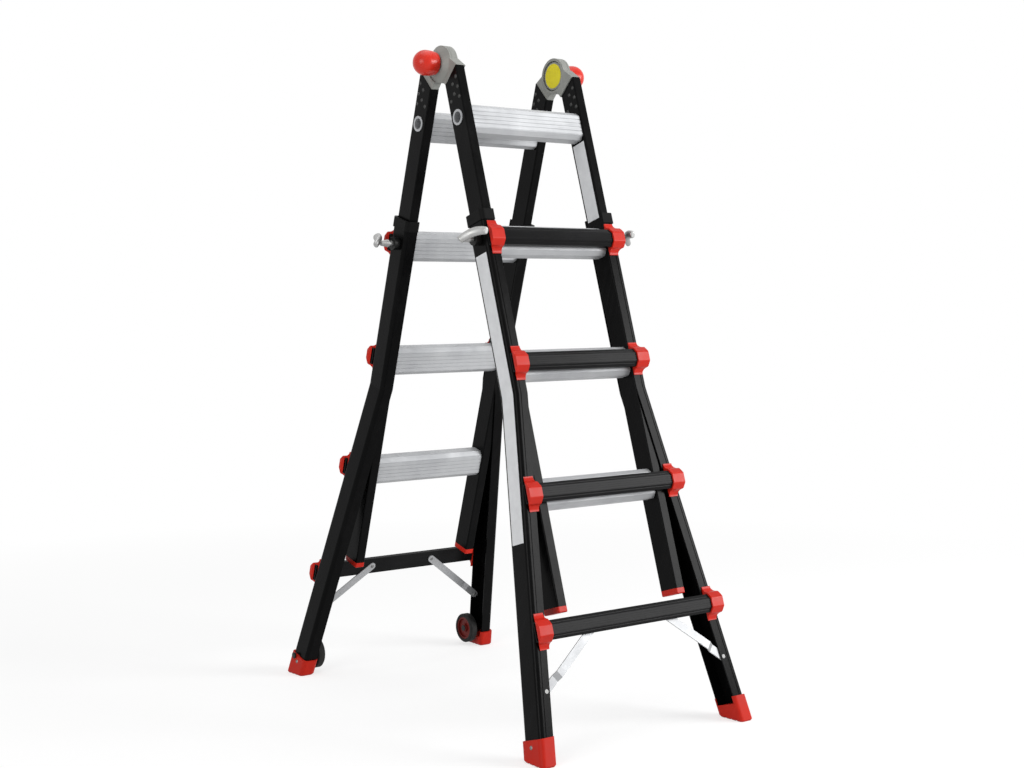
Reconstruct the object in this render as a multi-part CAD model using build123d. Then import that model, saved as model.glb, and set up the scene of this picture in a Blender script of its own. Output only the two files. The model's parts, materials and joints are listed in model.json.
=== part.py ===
from build123d import *
import os
from math import cos, radians, sin, tan

# A telescopic combination ladder of 4 x 4 rungs, standing as an A-frame with its sections pushed together.
# Millimetres, +Z up. The origin is on the floor under the hinge axis, midway between the rails.
# +X runs along the rungs, and the front half stands on the -Y side.
# Each half is drawn in the frame of its section: x along the rungs, d down the rails from the hinge axis,
# and n outward from the plane where the two halves meet when they are folded together.

# Stance
LEAN = 17.0
HINGE_HEIGHT = 1446.0

# How far a cutting shape runs past the faces that it cuts
OVERCUT = 1.0

# Rung spacing, with the top inner rung's distance from the hinge axis
RUNG_COUNT = 4
RUNG_PITCH = 280.0
TOP_RUNG = 142.0

# Inner rails: box section, cut aslant at the top round the hinge
INNER_HALF_WIDTH = 177.0
INNER_RAIL_WIDTH = 24.0
INNER_RAIL_DEPTH = 52.0
INNER_RAIL_WALL = 2.2
INNER_RAIL_CORNER = 3.0
RAIL_OFFSET = 12.0
RAIL_TOP_FRONT = 29.0
RAIL_TOP_BACK = 58.0

# Inner rungs: a ribbed shell round a tube that is swaged outside the rails
TUBE_BORE = 12.5
TUBE_WALL = 2.5
SWAGE_LIP = 2.5
SWAGE_THICKNESS = 2.0
INNER_RUNG_ABOVE = 27.0
INNER_RUNG_BELOW = 39.0
INNER_RUNG_DEPTH = 44.0
INNER_RUNG_WALL = 2.4
INNER_RUNG_BEVEL = 10.0
INNER_RUNG_GROOVES = 6

# End caps of the inner rails
END_CAP_LENGTH = 13.0
END_CAP_ROUND = 2.5
END_CAP_PLUG = 18.0
END_CAP_ABOVE_RUNG = 31.0

# Outer rails: channel round the inner rails, flared below the bend
OUTER_WEB = 4.0
OUTER_FLANGE = 3.0
OUTER_CORNER = 9.0
SLIDE_CLEARANCE = 0.5
SWAGE_CLEARANCE = 1.5
RAIL_ABOVE_LOCK = 56.0
BEND_BELOW_RUNG = 65.0
FLARE = 8.0
FLANGE_GROOVE = 1.0
FLANGE_GROOVE_WIDTH = 2.5
FLANGE_GROOVE_INSET = 12.0

# Outer rungs, a little below the inner ones that they line up with
OUTER_RUNG_OFFSET = 6.0
OUTER_RUNG_HEIGHT = 40.0
OUTER_RUNG_FACE = 18.0
OUTER_RUNG_DEPTH = 19.0
OUTER_RUNG_BEVEL = 9.0
OUTER_RUNG_WALL = 2.2
OUTER_RUNG_GROOVES = 7
GROOVE_WIDTH = 1.6
GROOVE_DEPTH = 1.0

# Rung brackets
BRACKET_HEIGHT = 74.0
BRACKET_WALL = 3.5
BRACKET_BASE = 2.5
BRACKET_OVERHANG = 2.0
BRACKET_BASE_INSET = 9.0
BRACKET_SLANT = 16.0
BRACKET_ROUND = 6.0

# Collars at the tops of the outer rails
COLLAR_WALL = 2.2
COLLAR_LENGTH = 24.0
COLLAR_LIP = 3.0

# Shoes
SHOE_SOLE = 10.0
SHOE_WRAP = 30.0
SHOE_WALL = 4.0
SHOE_CORNER = 10.0
SHOE_CORE_DROP = 16.0
SOLE_CHAMFER = 4.0
TREAD_GROOVES = 3
TREAD_DEPTH = 2.5
TREAD_WIDTH = 5.0

# Braces from the lowest outer rung to the rails
BRACE_THICKNESS = 3.0
BRACE_WIDTH = 18.0
BRACE_RUNG_REACH = 90.0
BRACE_RIVET_INSET = 8.0
BRACE_DROP_SHARE = 0.73
BRACE_WHEEL_CLEARANCE = 2.0
BRACE_JOGGLE_START = 36.0
BRACE_JOGGLE_RUN = 12.0

# Hinges: the front leaf laps inside the rear one, with a cup for the lock plate in its inner side
HUB_RADIUS = 41.0
FRONT_LEAF_STEP = 3.0
FRONT_LEAF_THICKNESS = 15.5
LEAF_SIDE_CLEARANCE = 0.5
CUP_RADIUS = 35.0
CUP_FLOOR = 5.0
REAR_LEAF_THICKNESS = 5.0
DOME_HEIGHT = 11.0
DOME_RIM = 40.0
DOME_TOP = 22.0
LEAF_RIM_CLEARANCE = 0.6
TONGUE_CLEARANCE = 0.2
TONGUE_END_GAP = 11.0
ARM_BACK = 4.0
ARM_CLEARANCE = 1.0
PIVOT_RADIUS = 14.0
PIVOT_FLANGE_RADIUS = 17.0
PIVOT_FLANGE = 1.5
RUNNING_CLEARANCE = 0.06

# Play that a moving piece keeps at the end of its travel, and at its spring
STOP_CLEARANCE = 0.7
SPRING_CLEARANCE = 0.5

# Hinge locks
STEM_RADIUS = 8.0
LOCK_PIN_RADIUS = 5.0
LOCK_PIN_CIRCLE = 26.0
LOCK_PIN_HOLE = 5.4
LOCK_PIN_ANGLE = 70.0
LOCK_PIN_CLEAR = 0.3
LOCK_PIN_ENGAGE = 4.0
LOCK_PLATE_RADIUS = 33.0
LOCK_PLATE_THICKNESS = 4.0
LOCK_PLATE_CHAMFER = 1.0
LOCK_PIN_HOLE_SPARE = 2.0
KNOB_PRESS = 3.0
KNOB_RADIUS = 28.0
KNOB_NECK = 25.0
KNOB_NECK_LENGTH = 24.0
KNOB_CROWN = 12.0
KNOB_RECESS = 14.0
KNOB_RECESS_RADIUS = 14.0

# Locks between the sections
BOLT_RADIUS = 11.0
BOLT_STEM = 6.0
BOLT_REACH = 11.0
BOLT_PULL = 2.0
BOLT_CLEAR = 0.3
BUSH_LENGTH = 3.0
HOUSING_RADIUS = 15.0
HOUSING_END_WALL = 2.5
HOUSING_CAVITY = 12.5
LEVER_BOSS = 18.0
LEVER_BOSS_RADIUS = 9.0
LEVER_FLATNESS = 0.75
LEVER_TAIL_RADIUS = 8.0
LEVER_RADIUS = 10.0
LEVER_TIP_RADIUS = 8.0
LEVER_TAIL_GAP = 2.5
LEVER_TAIL_FORWARD = 62.0
LEVER_MIDDLE_OUT = 18.0
LEVER_MIDDLE_FORWARD = 20.0
LEVER_TIP_OUT = 33.0
LEVER_TIP_FORWARD = 6.0
LEVER_ARCH = 2.0
LEVER_TAIL_DROP = 4.0
LEVER_TIP_DROP = 7.0
LEVER_END_ROUND = 3.0

# Coil springs
LOCK_SPRING_WIRE = 1.2
LOCK_SPRING_TURNS = 2
LOCK_SPRING_LENGTH = 6.0
LOCK_SPRING_RADIUS = 9.0
HINGE_SPRING_WIRE = 1.6
HINGE_SPRING_TURNS = 3
HINGE_SPRING_LENGTH = 9.0
HINGE_SPRING_RADIUS = 11.0

# Wheels of the rear half
WHEEL_RADIUS = 38.0
WHEEL_WIDTH = 20.5
HUB_RIM_RADIUS = 29.0
HUB_RIM_WALL = 4.0
HUB_BOSS_WALL = 6.0
HUB_DISH = 4.5
HUB_INSET = 1.5
WHEEL_PLAY = 0.3
TYRE_CHAMFER = 3.0
WHEEL_RAIL_GAP = 4.0
AXLE_BELOW_SHOE_TOP = 4.8
AXLE_FORWARD = 14.0
AXLE_RADIUS = 5.0
AXLE_COLLAR = 8.0
AXLE_HEAD = 4.0
AXLE_HEAD_RADIUS = 7.5
AXLE_CIRCLIP = 2.0

# Rivets
RIVET_RADIUS = 2.5
RIVET_HEAD = 4.4
RIVET_HEIGHT = 1.8
LEAF_RIVET_EDGE = 8.0
LEAF_RIVET_STEP = 23.0
LEAF_RIVET_COLUMN = 16.0
LEAF_RIVET_TOP = 25.0

# Places worked out from the sizes above
TUBE_RADIUS = TUBE_BORE + TUBE_WALL
SWAGE_RADIUS = TUBE_RADIUS + SWAGE_LIP
INNER_FACE = INNER_HALF_WIDTH - INNER_RAIL_WIDTH
N_BACK = RAIL_OFFSET
N_FRONT = RAIL_OFFSET + INNER_RAIL_DEPTH
N_MID = RAIL_OFFSET + INNER_RAIL_DEPTH / 2
VOID_BACK = N_BACK - SLIDE_CLEARANCE
VOID_FRONT = N_FRONT + SLIDE_CLEARANCE
OUTER_BACK = VOID_BACK - OUTER_FLANGE
OUTER_FRONT = VOID_FRONT + OUTER_FLANGE
SWAGE_FACE = INNER_HALF_WIDTH + SWAGE_THICKNESS
VOID_SIDE = SWAGE_FACE + SWAGE_CLEARANCE
OUTER_FACE = VOID_SIDE + OUTER_WEB
OUTER_EDGE = INNER_FACE

INNER_RUNGS = [TOP_RUNG + RUNG_PITCH * i for i in range(RUNG_COUNT)]
OUTER_RUNGS = [d + RUNG_PITCH + OUTER_RUNG_OFFSET for d in INNER_RUNGS]
LOCK_D = INNER_RUNGS[1]
OUTER_TOP = LOCK_D - RAIL_ABOVE_LOCK
BEND = OUTER_RUNGS[1] + BEND_BELOW_RUNG
END_CAP_BOTTOM = OUTER_RUNGS[-1] - END_CAP_ABOVE_RUNG
INNER_RAIL_END = END_CAP_BOTTOM - END_CAP_LENGTH

RUNG_BACK = OUTER_FRONT + BRACE_THICKNESS
RUNG_SHOULDER = RUNG_BACK + OUTER_RUNG_DEPTH - OUTER_RUNG_BEVEL
RUNG_FRONT = RUNG_BACK + OUTER_RUNG_DEPTH

LEAN_SIN = sin(radians(LEAN))
LEAN_COS = cos(radians(LEAN))
FLARE_SLOPE = tan(radians(FLARE))
RAIL_END = (HINGE_HEIGHT + OUTER_BACK * LEAN_SIN - SHOE_SOLE) / LEAN_COS
FLOOR_FRONT = (HINGE_HEIGHT + OUTER_FRONT * LEAN_SIN) / LEAN_COS
SHOE_TOP = RAIL_END - SHOE_WRAP
AXLE_D = SHOE_TOP + AXLE_BELOW_SHOE_TOP
AXLE_N = N_MID + AXLE_FORWARD


def flare_at(d):
    """How far the outer rail stands out at a distance down the rail."""
    return max(0.0, d - BEND) * FLARE_SLOPE


# Drawing planes of a section
def side_plane(x):
    """Sketches in (n, d), extruded towards +x."""
    return Plane(origin=(x, 0, 0), x_dir=(0, -1, 0), z_dir=(1, 0, 0))


def cross_plane(d):
    """Sketches in (x, n), extruded down the rail."""
    return Plane(origin=(0, 0, -d), x_dir=(1, 0, 0), z_dir=(0, 0, -1))


def front_plane(n):
    """Sketches in (x, -d), extruded outward."""
    return Plane(origin=(0, -n, 0), x_dir=(1, 0, 0), z_dir=(0, -1, 0))


def along_x(sketch, x0, x1):
    return extrude(side_plane(x0) * sketch, amount=x1 - x0)


def down_rail(sketch, d0, d1):
    return extrude(cross_plane(d0) * sketch, amount=d1 - d0)


def down_flare(sketch, d0, d1):
    """A section that keeps its level slices and runs out along the flare."""
    return extrude(cross_plane(d0) * sketch, amount=(d1 - d0) / cos(radians(FLARE)), dir=(FLARE_SLOPE, 0, -1))


def outward(sketch, n0, n1):
    return extrude(front_plane(n0) * sketch, amount=n1 - n0)


def span(a0, a1, b0, b1):
    return Pos((a0 + a1) / 2, (b0 + b1) / 2) * Rectangle(a1 - a0, b1 - b0)


def polygon(*points):
    return make_face(Polyline(*points, close=True))


def disc(a, b, radius):
    return Pos(a, b) * Circle(radius)


def rod(d, n, radius, x0, x1):
    return along_x(disc(n, d, radius), x0, x1)


# Placing sections in the stance
def front(shape):
    return Pos(0, 0, HINGE_HEIGHT) * Rot(-LEAN, 0, 0) * shape


def rear(shape):
    return mirror(front(shape), about=Plane.XZ)


def left(shape):
    return mirror(shape, about=Plane.YZ)


def group(*shapes):
    return Compound([solid for shape in shapes for solid in shape.solids()])


def both(shape):
    return group(left(shape), shape)


# Rivets
STANDING = (Align.CENTER, Align.CENTER, Align.MIN)


def head_cone():
    return Cone(RIVET_HEAD, RIVET_RADIUS, RIVET_HEIGHT, align=STANDING)


def rivet_head(d, n, x, outward_sign):
    return Pos(x, -n, -d) * Rot(0, 90 * outward_sign, 0) * head_cone()


def through_rivet(d, n, x0, x1):
    return rod(d, n, RIVET_RADIUS, x0, x1) + rivet_head(d, n, x0, -1) + rivet_head(d, n, x1, 1)


def face_rivet(x, d, n_flush, n_head):
    """A rivet square to the rungs, flush at one end and headed at the other."""
    shank = outward(disc(x, -d, RIVET_RADIUS), min(n_flush, n_head), max(n_flush, n_head))
    return shank + Pos(x, -n_head, -d) * Rot(90 if n_head > n_flush else -90, 0, 0) * head_cone()


def sunk_head(x, d, n):
    """A countersunk head, level with the face that it lies in."""
    return Pos(x, -n, -d) * Rot(-90, 0, 0) * head_cone()


# Hinge outlines, in (n, d)
def cut_line(n):
    """Where the slanted top of the rails lies."""
    share = (N_FRONT - n) / INNER_RAIL_DEPTH
    return RAIL_TOP_FRONT + share * (RAIL_TOP_BACK - RAIL_TOP_FRONT)


def arm_outline():
    return polygon(
        (HUB_RADIUS - ARM_CLEARANCE, ARM_CLEARANCE),
        (N_FRONT, RAIL_TOP_FRONT),
        (N_BACK, RAIL_TOP_BACK),
        (ARM_BACK, HUB_RADIUS),
        (ARM_BACK, ARM_CLEARANCE),
    )


def tongue_outline():
    inset = INNER_RAIL_WALL + TONGUE_CLEARANCE
    back = N_BACK + inset
    face = N_FRONT - inset
    end = TOP_RUNG - TUBE_RADIUS - TONGUE_END_GAP
    return polygon((face, cut_line(face)), (back, cut_line(back)), (back, end), (face, end))


LEAF_IN = INNER_FACE + INNER_RAIL_WALL + TONGUE_CLEARANCE
LEAF_OUT = INNER_HALF_WIDTH - INNER_RAIL_WALL - TONGUE_CLEARANCE
FRONT_LEAF_IN = INNER_FACE - FRONT_LEAF_STEP
FRONT_LEAF_OUT = FRONT_LEAF_IN + FRONT_LEAF_THICKNESS
CUP_FACE = FRONT_LEAF_OUT - CUP_FLOOR
REAR_LEAF_IN = FRONT_LEAF_OUT + LEAF_SIDE_CLEARANCE
REAR_LEAF_OUT = REAR_LEAF_IN + REAR_LEAF_THICKNESS
DOME_FACE = REAR_LEAF_OUT + DOME_HEIGHT


def leaf_rivet_places():
    """Rivets of one leaf: a full column near the front face, others between them further back."""
    edge = N_FRONT - LEAF_RIVET_EDGE
    first = RAIL_TOP_FRONT + LEAF_RIVET_TOP
    places = [(edge, first + LEAF_RIVET_STEP * i) for i in range(3)]
    places += [(edge - LEAF_RIVET_COLUMN, first + LEAF_RIVET_STEP * (i + 0.5)) for i in range(2)]
    places += [(edge - 2 * LEAF_RIVET_COLUMN, first + LEAF_RIVET_STEP * 2)]
    return places


# Inner section
def inner_rail():
    outline = Pos(INNER_FACE + INNER_RAIL_WIDTH / 2, N_MID) * RectangleRounded(
        INNER_RAIL_WIDTH, INNER_RAIL_DEPTH, INNER_RAIL_CORNER)
    hollow = span(INNER_FACE + INNER_RAIL_WALL, INNER_HALF_WIDTH - INNER_RAIL_WALL,
                  N_BACK + INNER_RAIL_WALL, N_FRONT - INNER_RAIL_WALL)
    rail = down_rail(outline - hollow, 0, INNER_RAIL_END)
    back = N_BACK - OVERCUT
    face = N_FRONT + OVERCUT
    top = polygon((back, -OVERCUT), (face, -OVERCUT), (face, cut_line(face)), (back, cut_line(back)))
    rail -= along_x(top, INNER_FACE - OVERCUT, INNER_HALF_WIDTH + OVERCUT)
    holes = leaf_rivet_holes() + [disc(N_MID, d, TUBE_RADIUS) for d in INNER_RUNGS]
    return rail - along_x(holes, INNER_FACE - OVERCUT, INNER_HALF_WIDTH + OVERCUT)


def inner_rung_outline(d):
    half = INNER_RUNG_DEPTH / 2
    top = d - INNER_RUNG_ABOVE
    bottom = d + INNER_RUNG_BELOW
    return polygon(
        (N_MID - half + INNER_RUNG_BEVEL, top), (N_MID + half - INNER_RUNG_BEVEL, top),
        (N_MID + half, top + INNER_RUNG_BEVEL), (N_MID + half, bottom - INNER_RUNG_BEVEL),
        (N_MID + half - INNER_RUNG_BEVEL, bottom), (N_MID - half + INNER_RUNG_BEVEL, bottom),
        (N_MID - half, bottom - INNER_RUNG_BEVEL), (N_MID - half, top + INNER_RUNG_BEVEL),
    )


def inner_rung(d):
    half = INNER_RUNG_DEPTH / 2
    outline = inner_rung_outline(d)
    hollow = offset(outline, amount=-INNER_RUNG_WALL, kind=Kind.INTERSECTION)
    bore = disc(N_MID, d, TUBE_BORE)
    wall = INNER_RUNG_WALL / 2
    web = span(N_MID - wall, N_MID + wall, d - INNER_RUNG_ABOVE + wall, d + INNER_RUNG_BELOW - wall)
    profile = outline - hollow + web + disc(N_MID, d, TUBE_RADIUS) - bore
    first = d - INNER_RUNG_ABOVE + INNER_RUNG_BEVEL
    step = (INNER_RUNG_ABOVE + INNER_RUNG_BELOW - 2 * INNER_RUNG_BEVEL) / (INNER_RUNG_GROOVES - 1)
    for i in range(INNER_RUNG_GROOVES):
        for face in (N_MID - half, N_MID + half):
            low = first + step * i - GROOVE_WIDTH / 2
            profile -= span(face - GROOVE_DEPTH, face + GROOVE_DEPTH, low, low + GROOVE_WIDTH)
    rung = along_x(profile, -INNER_FACE, INNER_FACE)
    tube_end = along_x(disc(N_MID, d, TUBE_RADIUS) - bore, INNER_FACE, INNER_HALF_WIDTH)
    swage = along_x(disc(N_MID, d, SWAGE_RADIUS) - bore, INNER_HALF_WIDTH, SWAGE_FACE)
    for end in (tube_end, swage):
        rung += [end, left(end)]
    return rung


def end_cap():
    inset = INNER_RAIL_WALL + TONGUE_CLEARANCE
    cap = down_rail(Pos(INNER_FACE + INNER_RAIL_WIDTH / 2, N_MID) * RectangleRounded(
        INNER_RAIL_WIDTH, INNER_RAIL_DEPTH, INNER_RAIL_CORNER), INNER_RAIL_END, END_CAP_BOTTOM)
    cap = fillet(cap.faces().sort_by(Axis.Z)[0].edges(), END_CAP_ROUND)
    plug = span(INNER_FACE + inset, INNER_HALF_WIDTH - inset, N_BACK + inset, N_FRONT - inset)
    return cap + down_rail(plug, INNER_RAIL_END - END_CAP_PLUG, INNER_RAIL_END)


def pin_places():
    """The two opposite lock pins, about the hinge axis."""
    angles = [radians(LOCK_PIN_ANGLE + half_turn) for half_turn in (0, 180)]
    return [(LOCK_PIN_CIRCLE * cos(a), LOCK_PIN_CIRCLE * sin(a)) for a in angles]


def leaf_rivet_holes():
    return Sketch() + [disc(n, d, RIVET_RADIUS) for n, d in leaf_rivet_places()]


def hinge_leaf(inner, outer):
    """A hub with its arm, the bridge that widens the arm beyond the other leaf's hub, and the tongue."""
    leaf = along_x(Circle(HUB_RADIUS) + arm_outline(), inner, outer)
    leaf += along_x(arm_outline() - Circle(HUB_RADIUS + LEAF_RIM_CLEARANCE), LEAF_IN, LEAF_OUT)
    leaf += along_x(tongue_outline(), LEAF_IN, LEAF_OUT)
    return leaf - along_x(leaf_rivet_holes(), LEAF_IN - OVERCUT, LEAF_OUT + OVERCUT)


def front_leaf():
    """The inner leaf, with the cup that takes the lock plate and the holes that guide its pins."""
    leaf = hinge_leaf(FRONT_LEAF_IN, FRONT_LEAF_OUT)
    leaf -= rod(0, 0, CUP_RADIUS, FRONT_LEAF_IN - OVERCUT, CUP_FACE)
    seat = CUP_FACE + PIVOT_FLANGE + RUNNING_CLEARANCE
    leaf -= rod(0, 0, PIVOT_FLANGE_RADIUS + RUNNING_CLEARANCE, CUP_FACE - OVERCUT, seat)
    leaf -= rod(0, 0, PIVOT_RADIUS + RUNNING_CLEARANCE, CUP_FACE, FRONT_LEAF_OUT + OVERCUT)
    guides = Sketch() + [disc(n, d, LOCK_PIN_RADIUS + RUNNING_CLEARANCE) for n, d in pin_places()]
    return leaf - along_x(guides, CUP_FACE - OVERCUT, FRONT_LEAF_OUT + OVERCUT)


def mirrored_pins(turn):
    """The front half's pin places as the rear leaf sees them, with the halves folded in by a turn."""
    spots = []
    for n, d in pin_places():
        y = n * LEAN_COS + d * LEAN_SIN
        z = n * LEAN_SIN - d * LEAN_COS
        a = radians(turn)
        y, z = y * cos(a) + z * sin(a), z * cos(a) - y * sin(a)
        spots.append((-y * LEAN_COS + z * LEAN_SIN, -y * LEAN_SIN - z * LEAN_COS))
    return spots


def rear_leaf():
    """The outer leaf, domed under the knob, with holes where the lock pins stand in each position."""
    leaf = hinge_leaf(REAR_LEAF_IN, REAR_LEAF_OUT)
    leaf += Pos(REAR_LEAF_OUT, 0, 0) * Rot(0, 90, 0) * Cone(DOME_RIM, DOME_TOP, DOME_HEIGHT, align=STANDING)
    leaf -= rod(0, 0, PIVOT_RADIUS, REAR_LEAF_IN - OVERCUT, DOME_FACE + OVERCUT)
    # folding turns the rear half by both leans, and the straight ladder uses the folded holes half a turn on
    places = mirrored_pins(0) + mirrored_pins(2 * LEAN)
    holes = Sketch() + [disc(n, d, LOCK_PIN_HOLE) for n, d in places]
    return leaf - along_x(holes, REAR_LEAF_IN - OVERCUT, REAR_LEAF_IN + LOCK_PIN_ENGAGE + LOCK_PIN_HOLE_SPARE)


def hinge_pivot():
    """A tube pressed into the rear leaf, with a flange that keeps the front leaf on it."""
    tube = rod(0, 0, PIVOT_RADIUS, CUP_FACE, DOME_FACE)
    tube += rod(0, 0, PIVOT_FLANGE_RADIUS, CUP_FACE, CUP_FACE + PIVOT_FLANGE)
    return tube - rod(0, 0, STEM_RADIUS + RUNNING_CLEARANCE, CUP_FACE - OVERCUT, DOME_FACE + OVERCUT)


def leaf_rivets():
    rivets = [through_rivet(d, n, INNER_FACE, INNER_HALF_WIDTH) for n, d in leaf_rivet_places()]
    return group(*rivets)


# Hinge locks, with the pins just clear of the rear leaf
PIN_TIP = REAR_LEAF_IN - LOCK_PIN_CLEAR
PLATE_OUT = CUP_FACE - LOCK_PIN_ENGAGE - STOP_CLEARANCE
PLATE_IN = PLATE_OUT - LOCK_PLATE_THICKNESS
KNOB_IN = DOME_FACE + KNOB_PRESS + STOP_CLEARANCE
KNOB_CENTRE = KNOB_IN + KNOB_NECK_LENGTH
KNOB_END = KNOB_CENTRE + KNOB_RADIUS
STEM_END = KNOB_END - KNOB_CROWN


def hinge_lock_plate():
    plate = rod(0, 0, LOCK_PLATE_RADIUS, PLATE_IN, PLATE_OUT)
    plate = chamfer(plate.edges().filter_by(GeomType.CIRCLE).group_by(Axis.X)[0], LOCK_PLATE_CHAMFER)
    plate += rod(0, 0, STEM_RADIUS, PLATE_OUT, STEM_END)
    for n, d in pin_places():
        plate += rod(d, n, LOCK_PIN_RADIUS, PLATE_OUT, PIN_TIP)
    return plate


def hinge_knob():
    """A palm knob turned about the hinge axis: a ball that draws in to a neck."""
    with BuildPart() as knob:
        with BuildSketch(Plane.XZ):
            with BuildLine():
                ball = TangentArc((KNOB_CENTRE, KNOB_RADIUS), (KNOB_END, 0), tangent=(1, 0))
                neck = TangentArc(ball @ 0, (KNOB_IN, KNOB_NECK), tangent=(-1, 0))
                Polyline(neck @ 1, (KNOB_IN, 0), ball @ 1)
            make_face()
        revolve(axis=Axis.X)
    shape = knob.part - rod(0, 0, STEM_RADIUS, KNOB_IN - OVERCUT, STEM_END)
    return shape - rod(0, 0, KNOB_RECESS_RADIUS, KNOB_IN - OVERCUT, KNOB_IN + KNOB_RECESS)


def coil(radius, wire, turns, length, x):
    """A compression spring along x, its turns made of tangent quarter arcs that climb evenly."""
    climb = (length - wire) / (4 * turns)
    points = [
        Vector(x + wire / 2 + climb * i, radius * cos(radians(90 * i)), radius * sin(radians(90 * i)))
        for i in range(4 * turns + 1)
    ]
    tangent = Vector(climb / 2, 0, radius)
    arcs = []
    for start, end in zip(points, points[1:]):
        arcs.append(TangentArc(start, end, tangent=tangent))
        tangent = arcs[-1] % 1
    path = Wire(arcs)
    return sweep(Plane(origin=path @ 0, z_dir=path % 0) * Circle(wire / 2), path=path)


def hinge_spring():
    """Round the stem, between the dome and the knob."""
    return coil(HINGE_SPRING_RADIUS, HINGE_SPRING_WIRE, HINGE_SPRING_TURNS, HINGE_SPRING_LENGTH, DOME_FACE)


# Outer section
def outer_rail_outline():
    outline = span(OUTER_EDGE, OUTER_FACE, OUTER_BACK, OUTER_FRONT)
    corners = outline.vertices().group_by(Axis.X)[-1]
    outline = fillet(corners, OUTER_CORNER)
    groove = span(OUTER_FACE - FLANGE_GROOVE_INSET - FLANGE_GROOVE_WIDTH, OUTER_FACE - FLANGE_GROOVE_INSET,
                  OUTER_FRONT - FLANGE_GROOVE, OUTER_FRONT + OVERCUT)
    return outline - span(OUTER_EDGE - OVERCUT, VOID_SIDE, VOID_BACK, VOID_FRONT) - groove


def axle_hole():
    return rod(AXLE_D, AXLE_N, AXLE_RADIUS, VOID_SIDE, OUTER_FACE + flare_at(RAIL_END) + SHOE_WALL)


def outer_rail(wheeled):
    outline = outer_rail_outline()
    rail = down_rail(outline, OUTER_TOP, BEND) + down_flare(outline, BEND, RAIL_END)
    rail -= rod(LOCK_D, N_MID, BOLT_RADIUS + RUNNING_CLEARANCE, VOID_SIDE - OVERCUT, OUTER_FACE + OVERCUT)
    rail -= outward(disc(BRACE_END_X, -BRACE_END, RIVET_RADIUS), VOID_FRONT - OVERCUT, OUTER_FRONT + OVERCUT)
    rail -= sunk_head(BRACE_END_X, BRACE_END, OUTER_FRONT)
    return rail - axle_hole() if wheeled else rail


def outer_rung_outline(d):
    half = OUTER_RUNG_HEIGHT / 2
    face = OUTER_RUNG_FACE / 2
    return polygon((RUNG_BACK, d - half), (RUNG_SHOULDER, d - half), (RUNG_FRONT, d - face),
                   (RUNG_FRONT, d + face), (RUNG_SHOULDER, d + half), (RUNG_BACK, d + half))


def rung_surface(u):
    """The rung's front surface at a height from its middle."""
    beyond = max(0.0, abs(u) - OUTER_RUNG_FACE / 2)
    return RUNG_FRONT - OUTER_RUNG_BEVEL * beyond / ((OUTER_RUNG_HEIGHT - OUTER_RUNG_FACE) / 2)


def bracket_reach(d):
    """The inner and outer side of the bracket at a rung."""
    return OUTER_EDGE + flare_at(d), OUTER_FACE + BRACKET_OVERHANG + flare_at(d)


def outer_rung(d):
    outline = outer_rung_outline(d)
    profile = outline - offset(outline, amount=-OUTER_RUNG_WALL, kind=Kind.INTERSECTION)
    step = (OUTER_RUNG_HEIGHT - 2 * GROOVE_WIDTH) / (OUTER_RUNG_GROOVES + 1)
    for i in range(OUTER_RUNG_GROOVES):
        u = step * (i - (OUTER_RUNG_GROOVES - 1) / 2)
        low = d + u - GROOVE_WIDTH / 2
        profile -= span(rung_surface(u) - GROOVE_DEPTH, RUNG_FRONT + OVERCUT, low, low + GROOVE_WIDTH)
    end = bracket_reach(d)[1] - BRACKET_WALL
    return along_x(profile, -end, end)


def bracket_outline():
    """The bracket's side about its rung: a thin base that sweeps out in hollows to the nose."""
    half = BRACKET_HEIGHT / 2
    base = OUTER_FRONT + BRACKET_BASE
    face = RUNG_FRONT + BRACKET_WALL
    nose = OUTER_RUNG_FACE / 2 + BRACKET_WALL / 2
    shoulder = RUNG_SHOULDER + BRACKET_WALL / 2
    wrap = OUTER_RUNG_HEIGHT / 2 + BRACKET_WALL
    outline = Polyline((shoulder, -wrap), (face, -nose), (face, nose), (shoulder, wrap))
    outline += Polyline((base, -half), (OUTER_FRONT, -half), (OUTER_FRONT, half), (base, half))
    for side in (-1, 1):
        outline += TangentArc((shoulder, side * wrap), (base, side * half), tangent=(-1, 0))
    outline = make_face(outline)
    return fillet(outline.vertices().sort_by(Axis.X)[-4:], BRACKET_ROUND)


def rung_bracket(d):
    """The outline met by a rounded plan, with the pocket that holds the rung's end."""
    inside, outside = bracket_reach(d)
    face = RUNG_FRONT + BRACKET_WALL
    foot = OUTER_FACE + flare_at(d) - BRACKET_BASE_INSET
    plan = polygon((inside, OUTER_FRONT), (inside, face), (outside, face),
                   (outside, OUTER_FRONT + BRACKET_SLANT), (foot, OUTER_FRONT))
    plan = fillet(plan.vertices().group_by(Axis.X)[-1], BRACKET_ROUND)
    half = BRACKET_HEIGHT / 2
    block = along_x(Pos(0, d) * bracket_outline(), inside, outside) & down_rail(plan, d - half, d + half)
    return block - along_x(outer_rung_outline(d), inside - OVERCUT, outside - BRACKET_WALL)


def collar():
    """A cap over the top of the outer rail, open where the inner rail runs through."""
    outline = span(OUTER_EDGE, OUTER_FACE + COLLAR_WALL, OUTER_BACK - COLLAR_WALL, OUTER_FRONT + COLLAR_WALL)
    outline = fillet(outline.vertices().group_by(Axis.X)[-1], OUTER_CORNER)
    run = span(OUTER_EDGE - OVERCUT, VOID_SIDE, VOID_BACK, VOID_FRONT)
    top = OUTER_TOP - COLLAR_LIP
    sleeve = down_rail(outline - run, top, top + COLLAR_LENGTH)
    rail = span(OUTER_EDGE - OVERCUT, OUTER_FACE, OUTER_BACK, OUTER_FRONT)
    rail = fillet(rail.vertices().group_by(Axis.X)[-1], OUTER_CORNER)
    return sleeve - down_rail(rail, OUTER_TOP, top + COLLAR_LENGTH + OVERCUT)


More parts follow.
